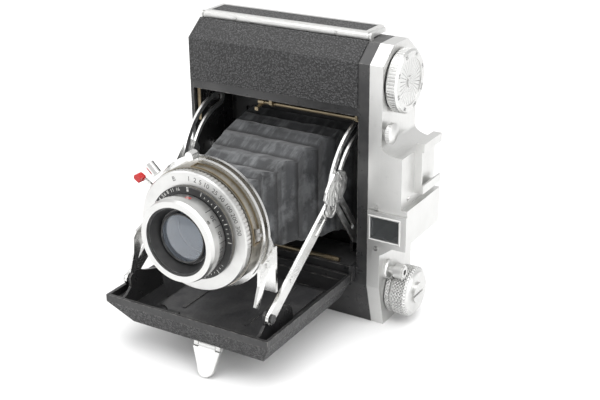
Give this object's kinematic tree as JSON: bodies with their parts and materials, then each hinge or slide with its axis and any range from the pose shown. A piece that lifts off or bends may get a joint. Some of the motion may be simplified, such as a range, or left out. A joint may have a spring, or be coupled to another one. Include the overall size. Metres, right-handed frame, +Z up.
{
  "type": "folding camera",
  "caption": "Folding roll-film camera standing on end, front door open on folding struts, pleated bellows, leaf-shutter lens, leather-covered body with chrome top.",
  "frame": {"origin": "middle of the end face that the camera stands on", "axes": "+Z up along the body's length as it stands, -Y the way the lens looks, +X towards the top cover with the finder and knobs"},
  "size_m": [0.1013, 0.0938, 0.115],
  "materials": {
    "black_paint": "semi-gloss with wear",
    "leather_black": "pebble grain",
    "satin_chrome": "satin",
    "chrome": "polished",
    "brass": "aged",
    "steel": "dull",
    "dark_metal": "matt black",
    "aluminium": "machined",
    "nickel": "aged nickel",
    "glass": "coated",
    "clear_glass": "clear",
    "bellows_cloth": "worn woven cloth",
    "wood_black": "painted"
  },
  "bodies": {
    "body": {"body_shell": "black_paint", "front_leather": "leather_black", "tripod_bush": "chrome", "film_gate": "dark_metal", "chamber_walls": "dark_metal", "top_cover": "satin_chrome", "viewfinder_tube": "satin_chrome", "viewfinder_lenses": "clear_glass", "accessory_shoe": "satin_chrome", "cover_screws": "chrome", "release_collar": "satin_chrome", "spool_stub": "chrome", "rod_bearings": "brass", "spring_tube": "brass", "side_brackets": "black_paint", "back_hinge_pin": "black_paint", "latch_eyes": "satin_chrome", "bellows": "bellows_cloth"},
    "upper_roller": {"roller_upper": "steel"},
    "lower_roller": {"roller_lower": "steel"},
    "release_plunger": {"release_button": "satin_chrome"},
    "door_opener": {"door_button": "satin_chrome"},
    "film_dial": {"dial_knob": "satin_chrome"},
    "winder": {"wind_knob": "satin_chrome"},
    "spool": {"takeup_spool": "wood_black"},
    "supply_peg": {"supply_pin": "chrome"},
    "door_catch": {"catch_rod": "brass"},
    "door": {"door_shell": "black_paint", "door_leather": "leather_black", "door_panel": "black_paint", "door_brackets": "black_paint", "door_lip": "dark_metal", "foot_hinge": "satin_chrome"},
    "prop_foot": {"foot": "satin_chrome"},
    "lens_standard": {"standard_plate": "chrome", "shutter_housing": "nickel", "shutter_band": "brass", "shutter_face": "dark_metal", "rear_cell": "dark_metal", "rear_glass": "glass", "cable_socket": "chrome"},
    "shutter_speed_ring": {"speed_ring": "aluminium"},
    "focus_mount": {"focus_barrel": "aluminium", "name_ring": "dark_metal", "front_glass": "glass"},
    "aperture_control": {"aperture_pointer": "steel"},
    "cocking_control": {"cocking_lever": "chrome"},
    "trip_control": {"trip_lever": "chrome"},
    "right_strut": {"strut_right": "chrome"},
    "left_strut": {"strut_left": "chrome"},
    "right_arm": {"arm_right": "chrome"},
    "left_arm": {"arm_left": "chrome"},
    "right_link": {"link_right": "chrome"},
    "left_link": {"link_left": "chrome"},
    "back_door": {"back_shell": "black_paint", "back_leather": "leather_black", "pressure_plate": "dark_metal"},
    "red_window_cover": {"window_slide": "dark_metal"},
    "back_lock": {"back_latch": "satin_chrome", "latch_leather": "leather_black"}
  },
  "joints": [
    {"name": "door_fold", "type": "hinge", "parent": "body", "child": "door", "pos_m": [-0.0017, -0.01155, 0.02435], "axis": [-1, 0, 0], "range_deg": [0, 90], "deforming": ["bellows"]},
    {"name": "foot_fold", "type": "hinge", "parent": "door", "child": "prop_foot", "pos_m": [0.0053, -0.0714, 0.0096], "axis": [1, 0, 0], "range_deg": [0, 122]},
    {"name": "standard_swing", "type": "hinge", "parent": "right_arm", "child": "lens_standard", "pos_m": [-0.0014, -0.0071, -0.02226], "axis": [-1, 0, 0], "range_deg": [0, 36]},
    {"name": "strut_right_swing", "type": "hinge", "parent": "door", "child": "right_strut", "pos_m": [0.0299, -0.0675, 0.0258], "axis": [-1, 0, 0], "range_deg": [0, 29.52]},
    {"name": "strut_left_swing", "type": "hinge", "parent": "door", "child": "left_strut", "pos_m": [-0.0331, -0.0675, 0.0258], "axis": [-1, 0, 0], "range_deg": [0, 29.52]},
    {"name": "arm_right_swing", "type": "hinge", "parent": "right_strut", "child": "right_arm", "pos_m": [0.0313, -0.0265, 0.053], "axis": [1, 0, 0], "range_deg": [0, 155.52]},
    {"name": "arm_left_swing", "type": "hinge", "parent": "left_strut", "child": "left_arm", "pos_m": [-0.0345, -0.0265, 0.053], "axis": [1, 0, 0], "range_deg": [0, 155.52]},
    {"name": "link_right_swing", "type": "hinge", "parent": "body", "child": "right_link", "pos_m": [0.0285, -0.0015, 0.0316], "axis": [-1, 0, 0], "range_deg": [0, 36.9]},
    {"name": "link_left_swing", "type": "hinge", "parent": "body", "child": "left_link", "pos_m": [-0.0317, -0.0015, 0.0316], "axis": [-1, 0, 0], "range_deg": [0, 36.9]},
    {"name": "focus_turn", "type": "hinge", "parent": "lens_standard", "child": "focus_mount", "pos_m": [-0.0014, -0.072, 0.0525], "axis": [0, -1, 0], "range_deg": [-120, 150]},
    {"name": "speed_turn", "type": "hinge", "parent": "lens_standard", "child": "shutter_speed_ring", "pos_m": [-0.0014, -0.067, 0.0525], "axis": [0, -1, 0], "range_deg": [-90, 90]},
    {"name": "aperture_set", "type": "hinge", "parent": "lens_standard", "child": "aperture_control", "pos_m": [-0.0014, -0.063, 0.0525], "axis": [0, -1, 0], "range_deg": [0, 33]},
    {"name": "shutter_cock", "type": "hinge", "parent": "lens_standard", "child": "cocking_control", "pos_m": [-0.0014, -0.061, 0.0525], "axis": [0, 1, 0], "range_deg": [0, 32]},
    {"name": "shutter_trip", "type": "hinge", "parent": "lens_standard", "child": "trip_control", "pos_m": [-0.0014, -0.0645, 0.0525], "axis": [0, -1, 0], "range_deg": [0, 9], "stiffness_Nm_per_rad": 0.02},
    {"name": "release_press", "type": "slide", "parent": "body", "child": "release_plunger", "axis": [-1, 0, 0], "range_m": [0, 0.0012], "stiffness_N_per_m": 400},
    {"name": "door_button_press", "type": "slide", "parent": "body", "child": "door_opener", "axis": [-1, 0, 0], "range_m": [0, 0.0013], "stiffness_N_per_m": 400},
    {"name": "catch_turn", "type": "hinge", "parent": "body", "child": "door_catch", "pos_m": [0.01, -0.0108, 0.0837], "axis": [-1, 0, 0], "range_deg": [0, 12]},
    {"name": "wind_turn", "type": "hinge", "parent": "body", "child": "winder", "pos_m": [0.05, 0, 0.0123], "axis": [1, 0, 0], "continuous": true},
    {"name": "spool_turn", "type": "hinge", "parent": "body", "child": "spool", "pos_m": [0, 0, 0.0123], "axis": [1, 0, 0], "continuous": true},
    {"name": "dial_turn", "type": "hinge", "parent": "body", "child": "film_dial", "pos_m": [0.048, -0.0014, 0.098], "axis": [1, 0, 0], "continuous": true},
    {"name": "supply_pin_pull", "type": "slide", "parent": "body", "child": "supply_peg", "axis": [-1, 0, 0], "range_m": [0, 0.006]},
    {"name": "roller_upper_turn", "type": "hinge", "parent": "body", "child": "upper_roller", "pos_m": [-0.0014, 0.0083, 0.0836], "axis": [1, 0, 0], "continuous": true},
    {"name": "roller_lower_turn", "type": "hinge", "parent": "body", "child": "lower_roller", "pos_m": [-0.0014, 0.0083, 0.0289], "axis": [1, 0, 0], "continuous": true},
    {"name": "back_open", "type": "hinge", "parent": "body", "child": "back_door", "pos_m": [0, 0.0061, 0.0013], "axis": [-1, 0, 0], "range_deg": [0, 90]},
    {"name": "window_cover_slide", "type": "slide", "parent": "back_door", "child": "red_window_cover", "axis": [0, 0, 1], "range_m": [0, 0.008]},
    {"name": "back_latch_lift", "type": "hinge", "parent": "body", "child": "back_lock", "pos_m": [-0.002, -0.0039, 0.1137], "axis": [1, 0, 0], "range_deg": [0, 40]}
  ],
  "couplings": [
    {"joint": "standard_swing", "follows": "door_fold", "ratio": 0.4},
    {"joint": "strut_right_swing", "follows": "door_fold", "ratio": 0.328},
    {"joint": "strut_left_swing", "follows": "door_fold", "ratio": 0.328},
    {"joint": "arm_right_swing", "follows": "door_fold", "ratio": 1.728},
    {"joint": "arm_left_swing", "follows": "door_fold", "ratio": 1.728},
    {"joint": "link_right_swing", "follows": "door_fold", "ratio": 0.41},
    {"joint": "link_left_swing", "follows": "door_fold", "ratio": 0.41},
    {"joint": "spool_turn", "follows": "wind_turn", "ratio": 1},
    {"joint": "catch_turn", "follows": "door_button_press", "rad_per_m": 161.11}
  ]
}
